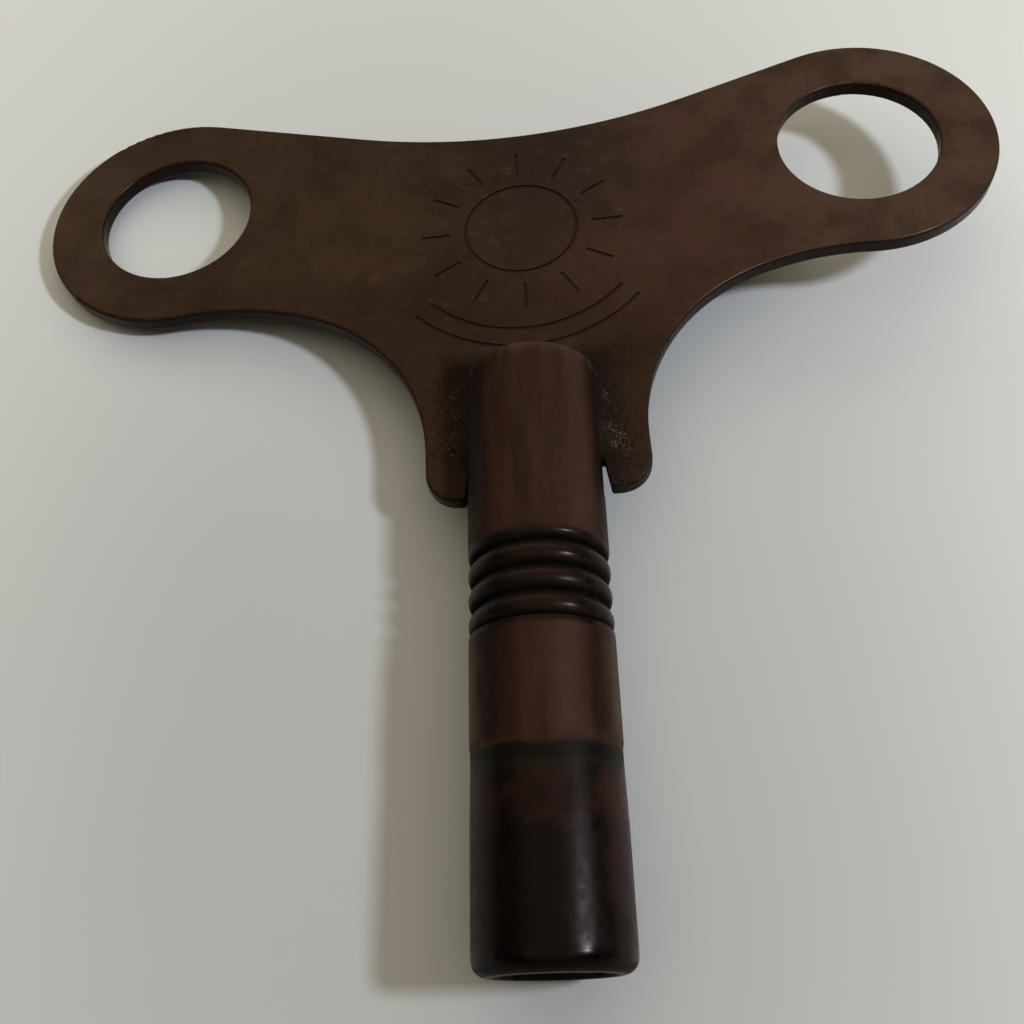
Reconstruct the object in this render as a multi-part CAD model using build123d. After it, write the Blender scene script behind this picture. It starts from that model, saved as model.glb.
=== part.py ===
"""Two-lobed winding key with a square socket, in millimetres.

A turned brass barrel lies along Y with its socket mouth at the origin, facing -Y.
A flat sheet-brass wing is cross-lapped into a slot in the barrel's other end
and soldered there. The wing lies in the XY plane and +Z is up.
"""

import math
import os

from build123d import *

# Barrel: a turned rod
BARREL_RADIUS = 4.5
BARREL_LENGTH = 38.25
MOUTH_ROUNDING = 0.9
TOP_ROUNDING = 0.45

# Turned decoration on the barrel
BEAD_COUNT = 3
BEAD_PITCH = 1.65
BEADS_START = 18.75
BEAD_GROOVE_DEPTH = 0.45
BEAD_GROOVE_WIDTH = 0.12
LIP_RADIUS = 0.6
RELIEF_START = 7.6
RELIEF_END = 12.2
RELIEF_DEPTH = 0.06
RELIEF_TAPER = 3.4
RELIEF_SHOULDER = 0.3

# Square socket and the drilled hole that it was broached from
SOCKET_SIZE = 5.0
SOCKET_DEPTH = 16.0
SOCKET_CORNER_RADIUS = 0.3
SOCKET_LEAD_IN = 0.15
PILOT_RADIUS = 2.5
PILOT_DEPTH = 18.0
PILOT_CONE_DEPTH = 1.4
COUNTERSINK_RADIUS = 3.4
COUNTERSINK_DEPTH = 0.9

# Slot across the barrel's top end, for the wing
SLOT_FLOOR = 28.2
SLOT_PLAY = 0.06

# Wing plate
WING_THICKNESS = 1.3
WING_EDGE_ROUNDING = 0.25
WING_TILT = 1.5
WING_TILT_CENTRE = 40.0
HOLE_SPACING = 53.4
HOLE_OFFSET = -0.62
HOLE_HEIGHT = 56.65
HOLE_RADIUS = 6.0
LOBE_RADIUS = 10.15
TOP_DIP_HEIGHT = 61.25
TOP_DIP_RADIUS = 45.0

# Lower edge of the wing and its two legs
LEG_OUTER = 7.55
LEG_TIP = 28.7
LEG_TIP_RADIUS = 2.2
FLANK_START = 32.6
FLANK_RADIUS = 13.5
FLANK_END_ANGLE = 112.6
NOTCH_TOP_WIDTH = 8.9
NOTCH_FOOT_WIDTH = 9.6
NOTCH_OFFSET = -0.125
NOTCH_TOP = 31.7
NOTCH_CORNER_RADIUS = 0.4

# Shallow cut ornament on the front of the wing
ORNAMENT_CENTRE = 51.5
ORNAMENT_DEPTH = 0.08
LINE_WIDTH = 0.26
RING_RADIUS = 4.2
TICK_COUNT = 12
TICK_INNER = 5.4
TICK_OUTER = 7.6
BORDER_RADII = (9.4, 10.9)
BORDER_HALF_ANGLE = 48.0

# Solder runs in the corners between wing and barrel
SOLDER_CENTRE = 35.0
SOLDER_AXIS = 4.7
SOLDER_AXIS_DEPTH = 1.2
SOLDER_SECTION_RADIUS = {"left": 2.55, "right": 2.9}
SOLDER_HALF_LENGTH = 5.2
SLOT_SOLDER_INSET = 0.3
SLOT_SOLDER_GAP = 0.15


def arc(centre, radius, start, end):
    """Circular arc about a centre between two directions, in degrees."""
    angles = (start, (start + end) / 2, end)
    points = [centre + Vector(radius, 0).rotate(Axis.Z, angle) for angle in angles]
    return ThreePointArc(*points)


def barrel_profile():
    """Half section of the turned barrel, without its holes, as a face."""
    groove_radius = BARREL_RADIUS - BEAD_GROOVE_DEPTH
    relief_radius = BARREL_RADIUS - RELIEF_DEPTH
    beads_end = BEADS_START + BEAD_COUNT * BEAD_PITCH
    flat_end = beads_end + BEAD_GROOVE_WIDTH
    mouth_centre = Vector(BARREL_RADIUS - MOUTH_ROUNDING, MOUTH_ROUNDING)
    top_centre = Vector(BARREL_RADIUS - TOP_ROUNDING, BARREL_LENGTH - TOP_ROUNDING)

    edges = [
        Line((0, 0), (mouth_centre.X, 0)),
        arc(mouth_centre, MOUTH_ROUNDING, -90, 0),
        Polyline(
            (BARREL_RADIUS, MOUTH_ROUNDING),
            (BARREL_RADIUS, RELIEF_START),
            (relief_radius, RELIEF_START + RELIEF_TAPER),
            (relief_radius, RELIEF_END - RELIEF_SHOULDER),
            (BARREL_RADIUS, RELIEF_END),
            (BARREL_RADIUS, BEADS_START),
            (groove_radius, BEADS_START),
        ),
    ]
    for index in range(BEAD_COUNT):
        low = BEADS_START + index * BEAD_PITCH
        start = low + BEAD_GROOVE_WIDTH
        high = low + BEAD_PITCH
        edges.append(Line((groove_radius, low), (groove_radius, start)))
        edges.append(
            ThreePointArc((groove_radius, start), (BARREL_RADIUS, (start + high) / 2), (groove_radius, high))
        )
    lip_angle = math.degrees(math.acos(1 - BEAD_GROOVE_DEPTH / LIP_RADIUS))
    lip_rise = LIP_RADIUS * math.sin(math.radians(lip_angle))
    lip_centre = Vector(BARREL_RADIUS - LIP_RADIUS, flat_end + lip_rise)
    edges += [
        Line((groove_radius, beads_end), (groove_radius, flat_end)),
        arc(lip_centre, LIP_RADIUS, -lip_angle, 0),
        Line((BARREL_RADIUS, lip_centre.Y), (BARREL_RADIUS, top_centre.Y)),
        arc(top_centre, TOP_ROUNDING, 0, 90),
        Line((top_centre.X, BARREL_LENGTH), (0, BARREL_LENGTH)),
        Line((0, BARREL_LENGTH), (0, 0)),
    ]
    return make_face(edges)


def socket_hole():
    """Square socket with its lead-in and countersink, and the drilled hole behind it."""
    mouth = Plane.XZ
    square = RectangleRounded(SOCKET_SIZE, SOCKET_SIZE, SOCKET_CORNER_RADIUS)
    wide = SOCKET_SIZE + 2 * SOCKET_LEAD_IN
    wide_square = RectangleRounded(wide, wide, SOCKET_CORNER_RADIUS + SOCKET_LEAD_IN)
    straight = extrude(mouth * square, -SOCKET_DEPTH)
    lead_in = loft([mouth * wide_square, mouth.offset(-SOCKET_LEAD_IN) * square])
    drill_shape = Polyline(
        (0, 0),
        (COUNTERSINK_RADIUS, 0),
        (PILOT_RADIUS, COUNTERSINK_DEPTH),
        (PILOT_RADIUS, PILOT_DEPTH),
        (0, PILOT_DEPTH + PILOT_CONE_DEPTH),
        close=True,
    )
    drilled = revolve(make_face(drill_shape), Axis.Y)
    return straight + lead_in + drilled


def barrel():
    """The turned barrel with its beads, socket and wing slot."""
    body = revolve(barrel_profile(), Axis.Y)
    slot_length = BARREL_LENGTH - SLOT_FLOOR
    slot_centre = Pos(0, SLOT_FLOOR + slot_length / 2, 0)
    slot = slot_centre * Box(2 * BARREL_RADIUS + 1, slot_length, WING_THICKNESS + SLOT_PLAY)
    return body - slot - socket_hole()


def wing_half(hole_distance):
    """Outline of the wing on the +X side, from its top dip to the middle of its foot."""
    lobe = Vector(hole_distance, HOLE_HEIGHT)

    # Top edge: a wide dip, then a straight line that touches dip and lobe
    dip = Vector(0, TOP_DIP_HEIGHT + TOP_DIP_RADIUS)
    to_lobe = lobe - dip
    spread = math.acos((TOP_DIP_RADIUS + LOBE_RADIUS) / to_lobe.length)
    line_angle = math.degrees(math.atan2(to_lobe.Y, to_lobe.X) - spread)
    line_normal = Vector(1, 0).rotate(Axis.Z, line_angle)

    # Lower edge: the flank arc runs into a second arc that touches the lobe
    flank = Vector(LEG_OUTER + FLANK_RADIUS, FLANK_START)
    flank_end = Vector(1, 0).rotate(Axis.Z, FLANK_END_ANGLE)
    reach = flank + flank_end * FLANK_RADIUS - lobe
    under_radius = (reach.length**2 - LOBE_RADIUS**2) / (2 * (LOBE_RADIUS + reach.dot(flank_end)))
    under = flank + flank_end * (FLANK_RADIUS - under_radius)
    to_under = under - lobe
    touch_angle = math.degrees(math.atan2(to_under.Y, to_under.X))

    foot = Vector(LEG_OUTER - LEG_TIP_RADIUS, LEG_TIP + LEG_TIP_RADIUS)
    return [
        arc(dip, TOP_DIP_RADIUS, -90, line_angle),
        Line(dip + line_normal * TOP_DIP_RADIUS, lobe - line_normal * LOBE_RADIUS),
        arc(lobe, LOBE_RADIUS, line_angle + 180, touch_angle),
        arc(under, under_radius, touch_angle + 180, FLANK_END_ANGLE),
        arc(flank, FLANK_RADIUS, FLANK_END_ANGLE, 180),
        Line((LEG_OUTER, FLANK_START), (LEG_OUTER, foot.Y)),
        arc(foot, LEG_TIP_RADIUS, 0, -90),
        Line((foot.X, LEG_TIP), (0, LEG_TIP)),
    ]


def wing_outline():
    """Flat outline of the wing with its finger holes."""
    right = wing_half(HOLE_SPACING / 2 + HOLE_OFFSET)
    left = [mirror(edge, about=Plane.YZ) for edge in wing_half(HOLE_SPACING / 2 - HOLE_OFFSET)]
    holes = [
        Pos(HOLE_OFFSET + side * HOLE_SPACING / 2, HOLE_HEIGHT) * Circle(HOLE_RADIUS)
        for side in (-1, 1)
    ]
    return make_face(right + left) - holes


def notch_side(side):
    """One side of the notch, from its top to its rounded mouth corner."""
    foot = Vector(side * NOTCH_FOOT_WIDTH / 2, LEG_TIP + NOTCH_CORNER_RADIUS)
    corner = foot + Vector(side * NOTCH_CORNER_RADIUS, 0)
    return [
        Line((side * NOTCH_TOP_WIDTH / 2, NOTCH_TOP), foot),
        arc(corner, NOTCH_CORNER_RADIUS, 90 + side * 90, 90 + side * 180),
        Line(corner - Vector(0, NOTCH_CORNER_RADIUS), (0, LEG_TIP)),
    ]


def notch():
    """The notch at the wing's foot, a little wider at its mouth, over the bottom of the barrel's slot."""
    top = Line((-NOTCH_TOP_WIDTH / 2, NOTCH_TOP), (NOTCH_TOP_WIDTH / 2, NOTCH_TOP))
    shape = make_face([top] + notch_side(-1) + notch_side(1))
    return extrude(Pos(NOTCH_OFFSET) * shape, WING_THICKNESS, both=True)


def ornament():
    """Ring, twelve ticks and a double border line, as a flat face."""
    ring = Circle(RING_RADIUS + LINE_WIDTH / 2) - Circle(RING_RADIUS - LINE_WIDTH / 2)
    tick_shape = Rectangle(TICK_OUTER - TICK_INNER, LINE_WIDTH)
    ticks = PolarLocations((TICK_OUTER + TICK_INNER) / 2, TICK_COUNT) * tick_shape
    borders = [border_line(radius) for radius in BORDER_RADII]
    return Pos(0, ORNAMENT_CENTRE) * (ring + ticks + borders)


def border_line(radius):
    """Thin arc-shaped band that is open at the top."""
    band = Circle(radius + LINE_WIDTH / 2) - Circle(radius - LINE_WIDTH / 2)
    reach = 2 * radius
    half_width = reach * math.tan(math.radians(BORDER_HALF_ANGLE))
    sector = make_face(Polyline((0, 0), (-half_width, -reach), (half_width, -reach), close=True))
    return band & sector


def wing_plate():
    """The wing: a flat plate with rounded edges, a notched foot and a shallow cut ornament."""
    plate = extrude(wing_outline(), WING_THICKNESS / 2, both=True)
    faces = plate.faces().sort_by(Axis.Z)
    rims = faces[0].edges() + faces[-1].edges()
    plate = fillet(rims, WING_EDGE_ROUNDING) - notch()
    front = Plane.XY.offset(WING_THICKNESS / 2)
    plate -= extrude(front * ornament(), -ORNAMENT_DEPTH)
    pivot = Pos(0, WING_TILT_CENTRE)
    return pivot * Rot(Z=WING_TILT) * pivot.inverse() * plate


def solder_run(side, face):
    """Solder in the corner between the barrel and one face of the wing."""
    radius = SOLDER_SECTION_RADIUS["right" if side > 0 else "left"]
    oval = Ellipse(radius, SOLDER_HALF_LENGTH)
    half_oval = oval & (Pos(radius, 0) * Rectangle(2 * radius, 3 * SOLDER_HALF_LENGTH))
    run = revolve(half_oval, Axis.Y)
    run = Pos(side * SOLDER_AXIS, SOLDER_CENTRE, -face * SOLDER_AXIS_DEPTH) * run
    above = Pos(0, SOLDER_CENTRE, face * (WING_THICKNESS / 2 + BARREL_RADIUS)) * Box(
        4 * BARREL_RADIUS, 4 * SOLDER_HALF_LENGTH, 2 * BARREL_RADIUS
    )
    rod = revolve(barrel_profile(), Axis.Y)
    return (run & above) - rod


def slot_solder():
    """Solder that fills the open foot of the slot, below the wing's notch."""
    height = NOTCH_TOP - SLOT_SOLDER_GAP - SLOT_FLOOR
    length = 2 * (BARREL_RADIUS - SLOT_SOLDER_INSET)
    block = Box(length, height, WING_THICKNESS + SLOT_PLAY)
    return Pos(0, SLOT_FLOOR + height / 2, 0) * block


def main():
    nodes = {
        "barrel": barrel(),
        "wing_plate": wing_plate(),
        "solder_front_left": solder_run(-1, 1),
        "solder_front_right": solder_run(1, 1),
        "solder_back_left": solder_run(-1, -1),
        "solder_back_right": solder_run(1, -1),
        "solder_slot_joint": slot_solder(),
    }
    os.makedirs("parts", exist_ok=True)
    for name, solid in nodes.items():
        export_step(solid, f"parts/{name}.step")


main()
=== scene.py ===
"""Old brass winding key on a pale floor, in the part's own frame, with the wing facing +Z.

The model is in metres. Named sizes are in millimetres and are turned into metres with MM.
"""

import math

import bmesh
import bpy
from mathutils import Euler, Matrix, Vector, noise


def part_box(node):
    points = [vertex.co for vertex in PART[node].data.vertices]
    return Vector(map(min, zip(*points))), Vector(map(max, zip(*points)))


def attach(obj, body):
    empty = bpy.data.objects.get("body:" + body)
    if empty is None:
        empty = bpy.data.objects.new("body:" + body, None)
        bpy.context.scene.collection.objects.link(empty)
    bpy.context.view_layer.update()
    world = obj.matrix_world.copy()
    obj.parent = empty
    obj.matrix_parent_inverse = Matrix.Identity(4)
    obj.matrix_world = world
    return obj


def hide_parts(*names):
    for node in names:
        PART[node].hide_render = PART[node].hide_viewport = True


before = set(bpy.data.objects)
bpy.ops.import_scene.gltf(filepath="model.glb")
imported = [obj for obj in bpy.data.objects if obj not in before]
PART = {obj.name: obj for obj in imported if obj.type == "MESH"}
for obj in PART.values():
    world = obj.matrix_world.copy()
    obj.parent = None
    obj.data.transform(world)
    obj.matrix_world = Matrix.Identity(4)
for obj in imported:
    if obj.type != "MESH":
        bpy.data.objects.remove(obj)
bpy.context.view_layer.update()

MM = 0.001

# Sizes read from the frame, in millimetres
BARREL_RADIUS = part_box("barrel")[1].x / MM
BARREL_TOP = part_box("barrel")[1].y / MM
WING_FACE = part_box("wing_plate")[1].z / MM

# The key lies on its barrel with its -X lobe just over the floor
FLOOR_HALF_WIDTH = 3000.0
FLOOR_TILT = math.radians(5.3)
FLOOR_GAP = 0.02

# The camera looks down on the wing from close by
CAMERA_PLACE = (3.85, -3.2, 59.27)
CAMERA_TURN = (0.4775, 0.1048, -0.0245)
CAMERA_LENS = 36.1

# The lamp stands on the +X side
LAMP_PLACE = (113.0, 6.0, 106.0)
LAMP_AIM = (0.0, 30.0, 0.0)
LAMP_SIZE = 18.0
LAMP_POWER = 5.2
LAMP_COLOUR = (0.84, 0.91, 1.0)

# A broad window behind the key and a pale ceiling, in an otherwise dim room
ROOM_COLOUR = (1.0, 0.90, 0.68)
WINDOW_LIGHT = 1.18
CEILING_LIGHT = 0.64
ROOM_LIGHT = 0.03


# ---------------------------------------------------------------- camera, floor and light


def make_camera():
    data = bpy.data.cameras.new("camera")
    data.lens = CAMERA_LENS
    data.sensor_width = 36.0
    data.clip_start = 0.001
    camera = bpy.data.objects.new("camera", data)
    camera.location = Vector(CAMERA_PLACE) * MM
    camera.rotation_euler = Euler(CAMERA_TURN)
    bpy.context.collection.objects.link(camera)
    bpy.context.scene.camera = camera


def make_floor():
    """A pale sheet that touches the barrel all along and tilts up to the lower lobe."""
    half = FLOOR_HALF_WIDTH * MM
    mesh = bpy.data.meshes.new("floor")
    corners = [(-half, -half, 0), (half, -half, 0), (half, half, 0), (-half, half, 0)]
    mesh.from_pydata([Vector(corner) for corner in corners], [], [(0, 1, 2, 3)])
    floor = bpy.data.objects.new("floor", mesh)
    floor.rotation_euler = Euler((0, FLOOR_TILT, 0))
    up = Vector((math.sin(FLOOR_TILT), 0, math.cos(FLOOR_TILT)))
    floor.location = -up * (BARREL_RADIUS + FLOOR_GAP) * MM
    bpy.context.collection.objects.link(floor)
    floor.data.materials.append(floor_material())


def make_lamp():
    """A small disc light that lights the floor evenly, so that it may stand close."""
    data = bpy.data.lights.new("lamp", "AREA")
    data.shape = "DISK"
    data.size = LAMP_SIZE * MM
    data.energy = LAMP_POWER
    data.color = LAMP_COLOUR
    data.use_nodes = True
    emission = data.node_tree.nodes["Emission"]
    falloff = data.node_tree.nodes.new("ShaderNodeLightFalloff")
    falloff.inputs["Strength"].default_value = 1.0
    data.node_tree.links.new(falloff.outputs["Constant"], emission.inputs["Strength"])
    lamp = bpy.data.objects.new("lamp", data)
    lamp.location = Vector(LAMP_PLACE) * MM
    aim = Vector(LAMP_AIM) * MM
    lamp.rotation_euler = (lamp.location - aim).to_track_quat("Z", "Y").to_euler()
    bpy.context.collection.objects.link(lamp)


# ---------------------------------------------------------------- node trees


class Nodes:
    """A node tree, with short ways to add the nodes it is built from."""

    def __init__(self, tree):
        self.tree = tree

    def link(self, source, target):
        self.tree.links.new(source, target)

    def feed(self, value, target):
        """A plain value goes on the socket, and an output is linked to it."""
        if isinstance(value, bpy.types.NodeSocket):
            self.link(value, target)
        else:
            target.default_value = value

    def split(self, vector):
        node = self.tree.nodes.new("ShaderNodeSeparateXYZ")
        self.link(vector, node.inputs[0])
        return node.outputs

    def vector(self, operation, first, second=None, scale=None):
        node = self.tree.nodes.new("ShaderNodeVectorMath")
        node.operation = operation
        self.feed(first, node.inputs[0])
        if second is not None:
            self.feed(second, node.inputs[1])
        if scale is not None:
            node.inputs["Scale"].default_value = scale
        return node.outputs["Value" if operation == "LENGTH" else "Vector"]

    def math(self, operation, first, second=0.0, third=0.0):
        node = self.tree.nodes.new("ShaderNodeMath")
        node.operation = operation
        for value, target in zip((first, second, third), node.inputs):
            self.feed(value, target)
        return node.outputs[0]

    def add(self, first, second):
        return self.math("ADD", first, second)

    def scaled(self, value, factor, offset=0.0):
        """The value times a factor, plus an offset."""
        return self.math("MULTIPLY_ADD", value, factor, offset)

    def size(self, value):
        return self.math("ABSOLUTE", value)

    def step(self, value, low, high, to_low=0.0, to_high=1.0):
        """Smooth step of a value from low to high."""
        node = self.tree.nodes.new("ShaderNodeMapRange")
        node.interpolation_type = "SMOOTHSTEP"
        for number, target in zip((value, low, high, to_low, to_high), node.inputs):
            self.feed(number, target)
        return node.outputs[0]

    def fade(self, value, low, high, strength=1.0):
        """Mask that has its full strength up to low and is gone from high on."""
        return self.step(value, low, high, strength, 0.0)

    def band(self, value, rise, fall):
        """Mask between two soft edges, each given as its start and its end."""
        return self.both(self.step(value, *rise), self.fade(value, *fall))

    def both(self, first, *others):
        """Product of masks."""
        for other in others:
            first = self.math("MULTIPLY", first, other)
        return first

    def either(self, first, *others):
        """Union of masks."""
        for other in others:
            first = self.math("MAXIMUM", first, other)
        return first

    def mix(self, factor, first, second):
        node = self.tree.nodes.new("ShaderNodeMix")
        node.data_type = "RGBA"
        self.feed(factor, node.inputs["Factor"])
        for value, target in ((first, node.inputs[6]), (second, node.inputs[7])):
            self.feed(value if isinstance(value, bpy.types.NodeSocket) else (*value, 1), target)
        return node.outputs[2]


class Graph(Nodes):
    """A material's node tree, with the place on the part in millimetres."""

    def __init__(self, name):
        self.material = bpy.data.materials.new(name)
        self.material.use_nodes = True
        super().__init__(self.material.node_tree)
        self.shader = self.tree.nodes["Principled BSDF"]
        coordinates = self.tree.nodes.new("ShaderNodeTexCoord")
        self.place = self.vector("SCALE", coordinates.outputs["Object"], scale=1 / MM)
        self.x, self.y, self.z = self.split(self.place)
        self.aside = self.size(self.x)
        self.normal_z = self.size(self.split(coordinates.outputs["Normal"])[2])

    def shifted(self, *offset):
        """The place moved aside, so that two noises of one scale differ."""
        return self.vector("ADD", self.place, offset)

    def far(self, centre, weights=(1, 1, 1)):
        """Distance from a point, with each axis weighted."""
        offset = self.vector("SUBTRACT", self.place, centre)
        return self.vector("LENGTH", self.vector("MULTIPLY", offset, weights))

    def noise(self, scale, detail=3.0, roughness=0.55, stretch=(1, 1, 1), place=None):
        """Noise with about scale features to the millimetre, from 0 to 1."""
        place = self.vector("MULTIPLY", place or self.place, stretch)
        node = self.tree.nodes.new("ShaderNodeTexNoise")
        self.link(place, node.inputs["Vector"])
        node.inputs["Scale"].default_value = scale
        node.inputs["Detail"].default_value = detail
        node.inputs["Roughness"].default_value = roughness
        return node.outputs["Fac"]

    def mottle(self, colour, pattern, edge, strength, shade):
        """Patches of a shade where a pattern runs high."""
        return self.mix(self.step(pattern, *edge, 0.0, strength), colour, shade)

    def bump(self, height, distance, strength=1.0, normal=None):
        node = self.tree.nodes.new("ShaderNodeBump")
        node.inputs["Strength"].default_value = strength
        node.inputs["Distance"].default_value = distance * MM
        self.link(height, node.inputs["Height"])
        if normal is not None:
            self.link(normal, node.inputs["Normal"])
        return node.outputs["Normal"]

    def finish(self, colour, roughness, metallic, normal=None, **fixed):
        self.feed(colour, self.shader.inputs["Base Color"])
        self.feed(roughness, self.shader.inputs["Roughness"])
        self.feed(metallic, self.shader.inputs["Metallic"])
        if normal is not None:
            self.link(normal, self.shader.inputs["Normal"])
        for name, value in fixed.items():
            self.shader.inputs[name.replace("_", " ")].default_value = value
        return self.material


# ---------------------------------------------------------------- room and floor


def make_room():
    """Warm light from a broad window on the +Y side and from the ceiling."""
    world = bpy.data.worlds.new("room")
    world.use_nodes = True
    nodes = Nodes(world.node_tree)
    direction = nodes.tree.nodes.new("ShaderNodeTexCoord")
    _, back, height = nodes.split(direction.outputs["Generated"])
    window = nodes.band(height, (0.28, 0.42), (0.68, 0.82))
    window = nodes.both(window, nodes.step(back, 0.35, 0.60))
    ceiling = nodes.step(height, 0.68, 0.82, ROOM_LIGHT, CEILING_LIGHT)
    background = world.node_tree.nodes["Background"]
    background.inputs["Color"].default_value = (*ROOM_COLOUR, 1)
    nodes.link(nodes.scaled(window, WINDOW_LIGHT, ceiling), background.inputs["Strength"])
    bpy.context.scene.world = world


def floor_material():
    """Plain matt white, with painted shade that greys it round the key and painted light that whitens it
    towards +Y.
    """
    graph = Graph("pale_floor")
    white = (0.97, 0.985, 1.0)
    grain = graph.noise(0.05, 4.0)
    colour = graph.mix(grain, (0.53, 0.54, 0.55), (0.56, 0.57, 0.58))
    # Painted light: the floor grows whiter towards +Y
    colour = graph.mix(graph.step(graph.y, 0.0, 110.0, 0.0, 0.52), colour, white)
    # Painted shade: the floor is greyer round the key and whiter away from it
    away = graph.far((-4.0, 25.0, 0.0), (1.0, 0.5, 0.0))
    colour = graph.mix(graph.step(away, 14.0, 64.0, 0.0, 0.85), colour, white)
    return graph.finish(colour, 0.7, 0.0, Specular_IOR_Level=0.1)


# ---------------------------------------------------------------- solder crust

# Reflections off the patina are slightly warm
SPECULAR_TINT = (1.0, 0.85, 0.76, 1.0)

# Colours of the crust that flux and solder left, from its hollows to its painted glints
CRUST_DARK = (0.0065, 0.0036, 0.0023)
CRUST_OLIVE = (0.035, 0.0205, 0.0108)
CRUST_BROWN = (0.0080, 0.0042, 0.0032)
CRUST_PAINTED_GLINT = (0.19, 0.160, 0.125)
SOLDER_CORNER_SHADE = (0.0085, 0.0042, 0.0030)


def painted_glints(graph, shade):
    """Mask of painted glints, small specks and curls of solder catching the light, most of them close to
    the barrel at +X.
    """
    specks = graph.step(graph.noise(3.2, 3.0, 0.6, place=graph.shifted(9.0, 4.0, 2.0)), 0.63, 0.69)
    curl = graph.noise(1.3, 3.0, 0.6, place=graph.shifted(3.0, 8.0, 5.0))
    curl = graph.size(graph.math("SUBTRACT", curl, 0.5))
    curl = graph.both(graph.fade(curl, 0.006, 0.022), graph.step(shade, 0.48, 0.56))
    near = graph.step(graph.aside, 5.7, 6.6, 0.55, 0.12)
    near = graph.both(near, graph.step(graph.x, -1.0, 1.0, 0.5, 1.0))
    near = graph.both(near, graph.step(graph.y, 36.5, 38.5, 1.0, 0.2))
    return graph.both(graph.either(specks, curl), near)


def crust(graph):
    """Fine dark olive-brown crust of old flux and solder: its grain, and its colour with painted glints.
    """
    grain = graph.noise(4.5, 5.0, 0.7)
    shade = graph.noise(0.9, 4.0, 0.6)
    colour = graph.mix(graph.step(grain, 0.40, 0.62), CRUST_DARK, CRUST_OLIVE)
    colour = graph.mottle(colour, shade, (0.45, 0.70), 0.6, CRUST_BROWN)
    # Painted highlights: glints of light on specks and curls of solder
    return grain, graph.mix(painted_glints(graph, shade), colour, CRUST_PAINTED_GLINT)


def solder_reach(graph):
    """Mask of the rough stain that the soldering left on the wing's two legs, wider at +X."""
    wander = graph.scaled(graph.noise(0.8, 4.0, 0.6), 3.0, -1.5)
    across = graph.add(graph.x, wander)
    low = graph.add(graph.y, wander)
    right = graph.both(graph.step(graph.x, 3.0, 4.0), graph.step(across, 5.8, 8.6, 1.0, 0.3))
    left = graph.both(graph.fade(graph.x, -4.0, -3.0), graph.step(across, -7.2, -6.4))
    left = graph.both(left, graph.step(low, 29.5, 32.0))
    return graph.both(graph.add(right, left), graph.fade(low, 39.4, 41.5))


def solder_material():
    """Old solder under the same crust as the legs beside it, with painted shade against the barrel."""
    graph = Graph("solder")
    grain, colour = crust(graph)
    # Painted shade where the solder meets the barrel
    colour = graph.mix(graph.fade(graph.aside, 4.7, 5.4, 0.8), colour, SOLDER_CORNER_SHADE)
    roughness = graph.step(grain, 0.3, 0.7, 0.55, 0.35)
    normal = graph.bump(grain, 0.12, 0.9)
    return graph.finish(colour, roughness, 0.1, normal, Specular_IOR_Level=0.12,
                        Specular_Tint=SPECULAR_TINT)


# ---------------------------------------------------------------- wing

# Patina from one lobe to the other
WING_OLIVE = (0.036, 0.0172, 0.0092)
WING_REDDISH = (0.060, 0.0268, 0.0188)
WING_NECK = (0.029, 0.0118, 0.0082)
WING_LOBE = (0.088, 0.0500, 0.0345)

# Patches of other patina: a purplish one at the top middle, a dark one low on the -X side, and an
# olive one inwards of the -X lobe. Each has its full strength up to its edge's start.
WING_PATCHES = (
    {"centre": (1.5, 57.5, 0), "weights": (1, 0.8, 0), "wander": 6.0, "edge": (5.0, 13.0),
     "strength": 0.85, "colour": (0.020, 0.0105, 0.0115)},
    {"centre": (-6.0, 46.5, 0), "weights": (1, 0.8, 0), "wander": 6.0, "edge": (4.0, 9.0),
     "strength": 0.6, "colour": (0.026, 0.0105, 0.0085)},
    {"centre": (-15.0, 52.0, 0), "weights": (0.7, 1, 0), "wander": 8.0, "edge": (5.0, 12.0),
     "strength": 0.7, "colour": (0.048, 0.0265, 0.0105)},
)

# Mottling, coarse to fine
WING_CLOUD = (0.020, 0.0105, 0.0060)
WING_OLIVE_STAIN = (0.050, 0.0290, 0.0110)
WING_FLECK = (0.016, 0.0090, 0.0055)
WING_RUB = (0.075, 0.0430, 0.0230)
WING_SCRATCH = (0.12, 0.075, 0.045)

# Painted shade on the cut walls and in the corner beside the barrel, and dirt in the ornament's lines
WING_WALL_SHADE = (0.0075, 0.0038, 0.0028)
WING_LINE = (0.0150, 0.0062, 0.0048)
WING_CORNER_SHADE = (0.0075, 0.0040, 0.0028)


def wing_patina(graph):
    """Brown patina: olive at -X, purplish in the middle, reddish at +X, paler on the lobes."""
    drift = graph.noise(0.07, 3.0, 0.6)
    along = graph.scaled(drift, 16.0, graph.x)
    colour = graph.mix(graph.step(along, 0.0, 20.0), WING_OLIVE, WING_REDDISH)
    for patch in WING_PATCHES:
        away = graph.scaled(drift, patch["wander"], graph.far(patch["centre"], patch["weights"]))
        mask = graph.fade(away, *patch["edge"], patch["strength"])
        colour = graph.mix(mask, colour, patch["colour"])
    neck = graph.both(graph.fade(graph.y, 42.0, 50.0), graph.step(drift, 0.3, 0.6, 0.4, 0.8))
    colour = graph.mix(neck, colour, WING_NECK)
    lobes = graph.either(graph.step(along, 18.0, 38.0), graph.fade(along, -34.0, -18.0, 0.8))
    return graph.mix(graph.both(lobes, 0.7), colour, WING_LOBE)


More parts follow.
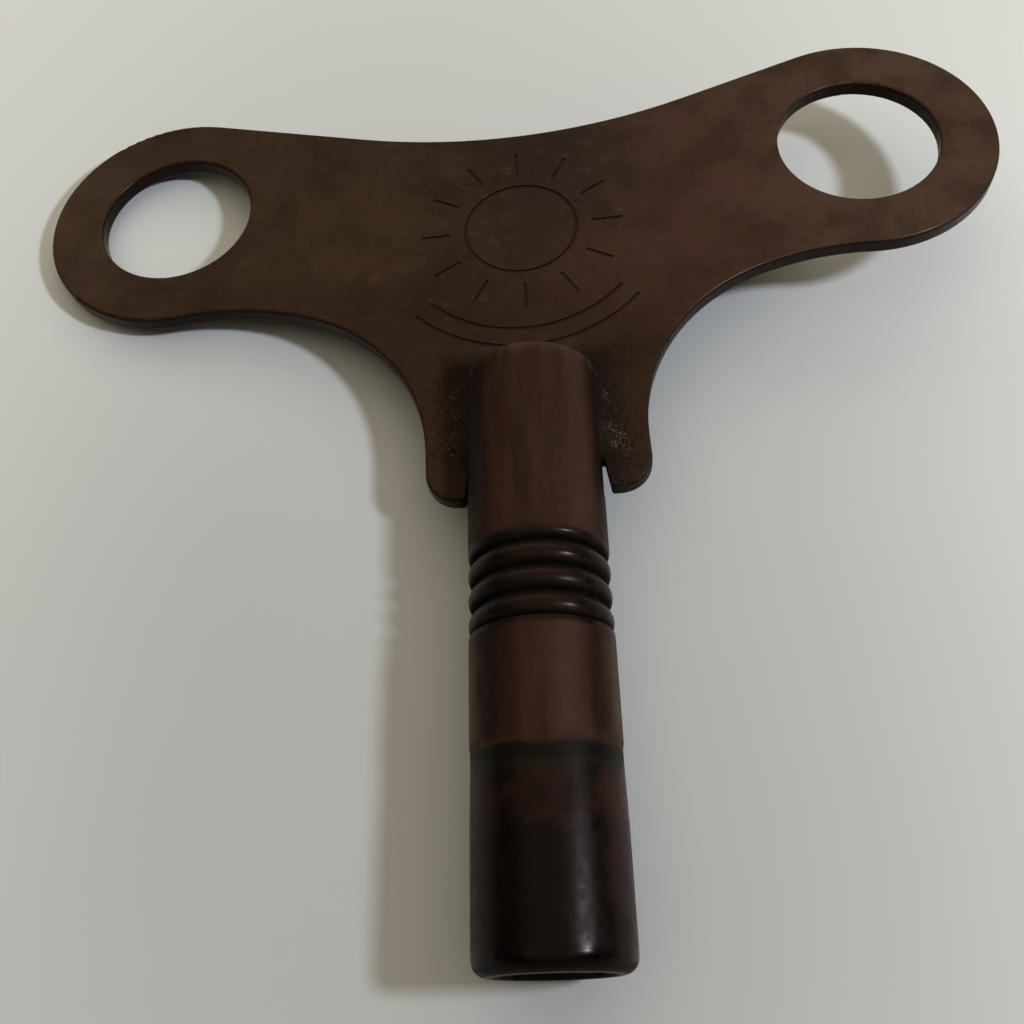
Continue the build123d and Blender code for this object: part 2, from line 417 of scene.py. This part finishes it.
def wing_mottling(graph, colour, cloud):
    """Clouds, olive stains, dark flecks and rub marks over the patina."""
    colour = graph.mottle(colour, cloud, (0.45, 0.66), 0.50, WING_CLOUD)
    olive = graph.noise(0.35, 4.0, 0.6, (1, 1, 0.5), graph.shifted(31.0, 7.0, 3.0))
    colour = graph.mottle(colour, olive, (0.50, 0.72), 0.45, WING_OLIVE_STAIN)
    colour = graph.mottle(colour, graph.noise(2.2, 4.0, 0.65), (0.50, 0.72), 0.50, WING_FLECK)
    return graph.mottle(colour, graph.noise(1.1, 5.0, 0.7), (0.53, 0.72), 0.50, WING_RUB)


def scratches(graph, scale, angle, length, rarity):
    """Thin straight marks that all run about one way, as 0 to 1."""
    turn = graph.tree.nodes.new("ShaderNodeVectorRotate")
    turn.rotation_type = "Z_AXIS"
    graph.link(graph.place, turn.inputs["Vector"])
    turn.inputs["Angle"].default_value = math.radians(angle)
    lines = graph.noise(scale, 2.0, 0.5, (1 / length, 1, 1), turn.outputs[0])
    return graph.step(lines, 0.5 + rarity, 0.5 + rarity * 1.5)


def wing_shade_and_dirt(graph, colour):
    """Painted shade on the cut walls, and dirt in the lines of the ornament just under the face."""
    # Painted shade: the cut walls are darker than the face
    wall_shade = graph.fade(graph.normal_z, 0.35, 0.75)
    colour = graph.mix(graph.both(wall_shade, 0.9), colour, WING_WALL_SHADE)
    line = graph.fade(graph.z, WING_FACE - 0.07, WING_FACE - 0.02)
    line = graph.both(line, graph.step(graph.normal_z, 0.75, 0.95), graph.step(graph.z, 0.3, 0.4))
    return graph.mix(graph.both(line, 0.75), colour, WING_LINE)


def wing_material():
    """Sheet brass under patina, with fine scratches and a crust of flux round the barrel."""
    graph = Graph("wing_brass")
    cloud = graph.noise(0.22, 5.0, 0.6)
    colour = wing_mottling(graph, wing_patina(graph), cloud)
    marks = graph.either(scratches(graph, 1.9, 34.0, 7.0, 0.19), scratches(graph, 1.6, -52.0, 9.0, 0.20))
    colour = graph.mix(graph.both(marks, 0.18), colour, WING_SCRATCH)
    colour = wing_shade_and_dirt(graph, colour)

    stain = solder_reach(graph)
    grain, crust_colour_with_glints = crust(graph)
    # The crust, with its painted glints, over the stain on the legs
    colour = graph.mix(graph.both(stain, 0.8), colour, crust_colour_with_glints)
    # Painted shade in the corner between the wing and the barrel
    corner_shade = graph.both(graph.fade(graph.aside, 5.0, 6.6, 0.8), graph.fade(graph.y, 39.0, 40.5))
    colour = graph.mix(corner_shade, colour, WING_CORNER_SHADE)

    # Duller where it is cloudy or stained, smoother on the handled edges
    fine = graph.noise(9.0, 3.0, 0.6)
    roughness = graph.scaled(fine, 0.10, graph.step(cloud, 0.3, 0.7, 0.40, 0.52))
    roughness = graph.scaled(stain, 0.12, roughness)
    edge = graph.both(graph.fade(graph.normal_z, 0.90, 0.97), graph.math("SUBTRACT", 1.0, stain))
    roughness = graph.scaled(edge, -0.18, roughness)

    normal = graph.bump(graph.noise(0.35, 2.0), 0.05, 0.5)
    normal = graph.bump(fine, 0.006, 0.8, normal)
    normal = graph.bump(marks, 0.008, -0.4, normal)
    normal = graph.bump(graph.both(grain, stain), 0.06, 0.7, normal)
    return graph.finish(colour, roughness, 0.2, normal, Specular_IOR_Level=0.12,
                        Specular_Tint=SPECULAR_TINT)


# ---------------------------------------------------------------- barrel

# Places along the barrel: the dark zone round the turned beads, and the black ring that parts the
# brown patina from the purple
BEADS = (18.6, 24.2)
RING = (10.8, 11.3)

# Grooves get painted shade in their colour, and are dulled as by dirt, from this far under the barrel's
# surface
GROOVE_SHADE_AND_DIRT = 0.34

# Near the mouth, all inside the first radius is socket, and the rim's painted highlight starts at the
# second
SOCKET_REACH = 3.60
RIM_RADIUS = 3.34

# Painted reflections, light and dark, run as streaks down the brown part: their angles from the top
# towards +X below and above the beads, half width, strength, colour
PAINTED_REFLECTION_STREAKS = (
    (0.36, 0.76, 0.22, 0.5, (0.072, 0.0350, 0.0230)),
    (0.83, 1.16, 0.17, 0.85, (0.0100, 0.0036, 0.0025)),
    (-0.68, -0.95, 0.32, 0.9, (0.0080, 0.0030, 0.0022)),
    (1.30, 1.80, 0.20, 0.8, (0.085, 0.0560, 0.0430)),
    (-1.30, -2.20, 0.30, 0.9, (0.100, 0.0740, 0.0540)),
)

# Patina of the upper part, and the painted highlight at its top edge
BARREL_DARK_BROWN = (0.024, 0.0110, 0.0060)
BARREL_BROWN = (0.044, 0.0188, 0.0108)
BARREL_RED = (0.036, 0.0120, 0.0085)
BARREL_CROWN_HIGHLIGHT = (0.066, 0.043, 0.032)
BARREL_RUB = (0.070, 0.040, 0.026)

# Patina of the lower part
BARREL_NEAR_BLACK = (0.0045, 0.0028, 0.0020)
BARREL_PURPLE = (0.0150, 0.0052, 0.0048)
BARREL_FLANK = (0.0260, 0.0095, 0.0065)
BARREL_RING = (0.0030, 0.0028, 0.0020)
BARREL_BAND = (0.0075, 0.0065, 0.0050)
BARREL_BLACK = (0.0026, 0.0011, 0.0007)

# Turning marks, dark beads, painted shade in the grooves, the crevice and the socket, and a painted
# highlight on the mouth's rim
BARREL_TURNED = (0.012, 0.0058, 0.0040)
BARREL_BEADS = (0.0080, 0.0042, 0.0032)
BARREL_GROOVE_SHADE = (0.0022, 0.0016, 0.0013)
BARREL_CREVICE_SHADE = (0.0040, 0.0025, 0.0020)
BARREL_SOCKET_SHADE = (0.0040, 0.0030, 0.0018)
BARREL_RIM_HIGHLIGHT = (0.130, 0.105, 0.090)


class BarrelGraph(Graph):
    """The barrel's node tree, with the places and patterns that its layers share."""

    def __init__(self):
        super().__init__("barrel_brass")
        self.radius = self.vector("LENGTH", self.vector("MULTIPLY", self.place, (1, 0, 1)))
        self.angle = self.math("ARCTAN2", self.x, self.z)
        self.ripple = self.noise(0.30, 3.0, 0.5)
        self.level = self.add(self.y, self.scaled(self.ripple, 1.0, -0.5))
        self.streak = self.noise(0.9, 4.0, 0.6, (1.0, 0.12, 1.0))
        self.turning = self.noise(3.0, 3.0, 0.6, (0.06, 4.0, 0.06))
        self.brown_part = self.step(self.level, RING[1] + 0.3, RING[1] + 1.3)
        self.beads = self.band(self.y, (BEADS[0] - 0.4, BEADS[0]), (BEADS[1], BEADS[1] + 0.6))
        deep = self.fade(self.radius, BARREL_RADIUS - GROOVE_SHADE_AND_DIRT, BARREL_RADIUS - 0.04)
        self.grooves = self.both(self.beads, deep)
        inside = self.fade(self.radius, SOCKET_REACH, SOCKET_REACH + 0.04)
        self.socket = self.both(self.fade(self.y, 17.0, 18.0), inside)


def barrel_brown(graph):
    """Brown upper part, streaked along the barrel, with painted reflections down its sides."""
    colour = graph.mix(graph.step(graph.streak, 0.35, 0.65), BARREL_DARK_BROWN, BARREL_BROWN)
    red = graph.noise(0.28, 3.0, 0.6, (1.0, 0.3, 1.0))
    colour = graph.mottle(colour, red, (0.45, 0.65), 0.6, BARREL_RED)
    # Painted reflections: light and dark streaks at fixed angles round the barrel
    for low, high, half_width, strength, shade in PAINTED_REFLECTION_STREAKS:
        middle = graph.step(graph.y, 16.0, 27.0, low, high)
        off = graph.size(graph.math("SUBTRACT", graph.angle, middle))
        off = graph.scaled(graph.streak, 0.25, off)
        painted_reflection = graph.fade(off, 0.125, half_width * 1.5 + 0.125, strength)
        colour = graph.mix(graph.both(painted_reflection, graph.brown_part), colour, shade)
    return colour


def barrel_lower(graph, colour):
    """Purple-brown below a near-black ring, redder on the +X flank, and black at the mouth."""
    purple = graph.mix(graph.step(graph.ripple, 0.4, 0.62), BARREL_NEAR_BLACK, BARREL_PURPLE)
    flank = graph.both(graph.step(graph.angle, 0.6, 0.9), graph.step(graph.ripple, 0.38, 0.55))
    purple = graph.mix(flank, purple, BARREL_FLANK)
    colour = graph.mix(graph.fade(graph.level, RING[0] + 0.1, RING[1] + 0.4), colour, purple)
    ring = graph.band(graph.level, (RING[0] - 0.3, RING[0]), (RING[1], RING[1] + 0.5))
    colour = graph.mix(ring, colour, BARREL_RING)
    band = graph.band(graph.level, (RING[0] - 0.9, RING[0] - 0.6), (RING[0] - 0.3, RING[0]))
    colour = graph.mix(graph.both(band, 0.7), colour, BARREL_BAND)
    blotch = graph.noise(0.45, 5.0, 0.65, (1.0, 0.6, 1.0))
    depth = graph.add(graph.y, graph.scaled(blotch, 7.0, -3.5))
    black = graph.both(graph.fade(depth, 6.4, 7.6), graph.step(graph.angle, 0.6, 0.9, 0.95, 0.40))
    return graph.mix(black, colour, BARREL_BLACK)


def barrel_marks_and_shade(graph, colour):
    """Turning marks, and painted shade in the grooves, beside the wing and in the socket."""
    colour = graph.mottle(colour, graph.turning, (0.45, 0.75), 0.18, BARREL_TURNED)
    colour = graph.mix(graph.both(graph.beads, 0.92), colour, BARREL_BEADS)
    # Painted shade in the grooves between the beads
    colour = graph.mix(graph.grooves, colour, BARREL_GROOVE_SHADE)
    # Painted shade in the crevice where the barrel meets the wing and the solder
    crevice_shade = graph.both(graph.step(graph.y, 28.0, 29.0), graph.fade(graph.size(graph.z), 1.0, 1.8))
    colour = graph.mix(graph.both(crevice_shade, 0.85), colour, BARREL_CREVICE_SHADE)
    # Painted shade in the socket, reaching over the end face inside SOCKET_REACH
    return graph.mix(graph.socket, colour, BARREL_SOCKET_SHADE)


def barrel_highlights_and_wear(graph, colour):
    """Painted highlights on the mouth's rim and along the top edge, and rub marks on the brown part."""
    # Painted highlight: a thin light ring on the mouth's rim
    rim_highlight = graph.both(graph.fade(graph.y, 0.01, 0.05),
                     graph.step(graph.radius, RIM_RADIUS, RIM_RADIUS + 0.06))
    colour = graph.mix(rim_highlight, colour, BARREL_RIM_HIGHLIGHT)
    # Painted highlight in patches along the barrel's top edge
    crown_highlight = graph.scaled(graph.streak, 3.0, graph.math("SUBTRACT", graph.y, BARREL_TOP + 1.5))
    colour = graph.mottle(colour, crown_highlight, (-1.3, 0.2), 0.8, BARREL_CROWN_HIGHLIGHT)
    rub = graph.step(graph.noise(1.6, 5.0, 0.7), 0.60, 0.74, 0.0, 0.4)
    return graph.mix(graph.both(rub, graph.brown_part), colour, BARREL_RUB)


def barrel_material():
    """Turned brass: warm brown above, near-black and patchy towards the mouth."""
    graph = BarrelGraph()
    colour = barrel_lower(graph, barrel_brown(graph))
    colour = barrel_highlights_and_wear(graph, barrel_marks_and_shade(graph, colour))

    # The lower part and the beads are glossy, and dirt is dull
    roughness = graph.step(graph.noise(1.2, 4.0), 0.35, 0.65, 0.31, 0.42)
    roughness = graph.add(roughness, graph.step(graph.level, 10.5, 12.0, 0.0, 0.23))
    proud = graph.step(graph.radius, BARREL_RADIUS - 0.14, BARREL_RADIUS - 0.04)
    polish = graph.either(graph.both(graph.beads, proud), graph.fade(graph.y, 0.9, 1.5, 0.4))
    roughness = graph.scaled(polish, -0.30, roughness)
    dirt = graph.either(graph.grooves, graph.socket, graph.fade(graph.y, 0.3, 0.7, 0.9))
    roughness = graph.scaled(dirt, 0.4, roughness)

    lines = graph.both(graph.turning, graph.step(graph.level, 9.0, 12.0, 1.8, 1.0))
    normal = graph.bump(lines, 0.005, 0.3)
    normal = graph.bump(graph.noise(0.5, 2.0), 0.03, 0.2, normal)
    return graph.finish(colour, roughness, 0.1, normal, Specular_IOR_Level=0.13,
                        Specular_Tint=SPECULAR_TINT)


# ---------------------------------------------------------------- solder runs

# Where each run lies, in millimetres: its ends along the barrel, its reach over the wing, its climb
# up the barrel, and how much further it reaches at its foot
SOLDER_RUNS = {
    "front_left": {"ends": (31.0, 38.4), "reach": 1.7, "climb": 1.0, "foot": 0.3},
    "front_right": {"ends": (31.0, 38.7), "reach": 0.9, "climb": 0.8, "foot": 1.9},
    "back_left": {"ends": (31.0, 38.2), "reach": 1.8, "climb": 1.2, "foot": 0.7},
    "back_right": {"ends": (31.0, 38.5), "reach": 1.5, "climb": 1.0, "foot": 1.2},
}
ROWS = 120
COLUMNS = 26

# The foot's place along a run, and how near a run's profile may come to its pointed ends
FOOT_PLACE = 0.16
BLUNT_END = 0.004

# How far a run's edges sink into the barrel and the wing, and where its hidden underside lies
BARREL_SINK = 0.06
WING_SINK = 0.04
UNDERSIDE_SINK = 0.34
UNDERSIDE_INSET = 0.5

# Height and fineness of the lumps
LUMPS = ((0.10, 1.2), (0.06, 2.9), (0.05, 6.5))


def run_profile(run, side, face, along):
    """Contact points on barrel and wing, and the corner between them, at a place along a run."""
    low, high = run["ends"]
    y = low + (high - low) * along
    seed = Vector((side * 7.0, y * 0.8, face * 5.0))
    body = math.sin(math.pi * min(max(along, BLUNT_END), 1 - BLUNT_END)) ** 0.55
    swell = 1 + run["foot"] / run["reach"] * math.exp(-(((along - FOOT_PLACE) / FOOT_PLACE) ** 2))
    reach = run["reach"] * body * swell * (1 + 0.35 * noise.noise(seed))
    climb = run["climb"] * body * (1 + 0.4 * noise.noise(seed + Vector((20, 0, 0))))
    root = math.asin(WING_FACE / BARREL_RADIUS)
    lift = root + climb / BARREL_RADIUS
    sunk = BARREL_RADIUS - BARREL_SINK
    corner_x = BARREL_RADIUS * math.cos(root)
    on_barrel = Vector((side * sunk * math.cos(lift), y, face * sunk * math.sin(lift)))
    corner = Vector((side * (corner_x + 0.30 * reach), y, face * (WING_FACE + 0.35 * climb)))
    on_wing = Vector((side * (corner_x + reach), y, face * (WING_FACE - WING_SINK)))
    return on_barrel, corner, on_wing


def run_ring(run, side, face, along):
    """One closed ring of a run: its lumpy top from barrel to wing, then its hidden underside."""
    on_barrel, corner, on_wing = run_profile(run, side, face, along)
    ring = []
    for column in range(COLUMNS + 1):
        t = column / COLUMNS
        point = on_barrel * (1 - t) ** 2 + corner * 2 * t * (1 - t) + on_wing * t**2
        outward = Vector((side * (1 - t), 0, face * (0.4 + t))).normalized()
        lump = sum(height * noise.noise(point * fineness) for height, fineness in LUMPS)
        ring.append(point + outward * lump * math.sin(math.pi * t) ** 0.7)
    under = face * (WING_FACE - UNDERSIDE_SINK)
    ring.append(Vector((on_wing.x, on_wing.y, under)))
    ring.append(Vector((side * (BARREL_RADIUS - UNDERSIDE_INSET), on_barrel.y, under)))
    return ring


def solder_piece(name, run, side, face):
    """A lumpy closed fillet between barrel and wing."""
    mesh = bmesh.new()
    rings = []
    for row in range(ROWS + 1):
        ring = run_ring(run, side, face, row / ROWS)
        rings.append([mesh.verts.new(point * MM) for point in ring])
    for first, second in zip(rings, rings[1:]):
        for index in range(len(first)):
            after = (index + 1) % len(first)
            mesh.faces.new((first[index], first[after], second[after], second[index]))
    mesh.faces.new(rings[0])
    mesh.faces.new(rings[-1])
    bmesh.ops.recalc_face_normals(mesh, faces=mesh.faces)
    for mesh_face in mesh.faces:
        mesh_face.smooth = True
    data = bpy.data.meshes.new(name)
    mesh.to_mesh(data)
    mesh.free()
    piece = bpy.data.objects.new(name, data)
    bpy.context.collection.objects.link(piece)
    return piece


def make_solder(material):
    for place, run in SOLDER_RUNS.items():
        side = -1 if place.endswith("left") else 1
        face = -1 if place.startswith("back") else 1
        piece = solder_piece("solder_run_" + place, run, side, face)
        piece.data.materials.append(material)
        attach(piece, "root")
        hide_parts("solder_" + place)


# ---------------------------------------------------------------- the model


def finish_nodes(solder):
    """Wing and barrel get their own finish, and every other node is solder."""
    finishes = {"wing_plate": wing_material(), "barrel": barrel_material()}
    for name, node in PART.items():
        node.data.materials.clear()
        node.data.materials.append(finishes.get(name, solder))
        for face in node.data.polygons:
            face.material_index = 0


old_solder = solder_material()
finish_nodes(old_solder)
make_solder(old_solder)
make_camera()
make_floor()
make_lamp()
make_room()
bpy.context.scene.view_settings.view_transform = "Standard"
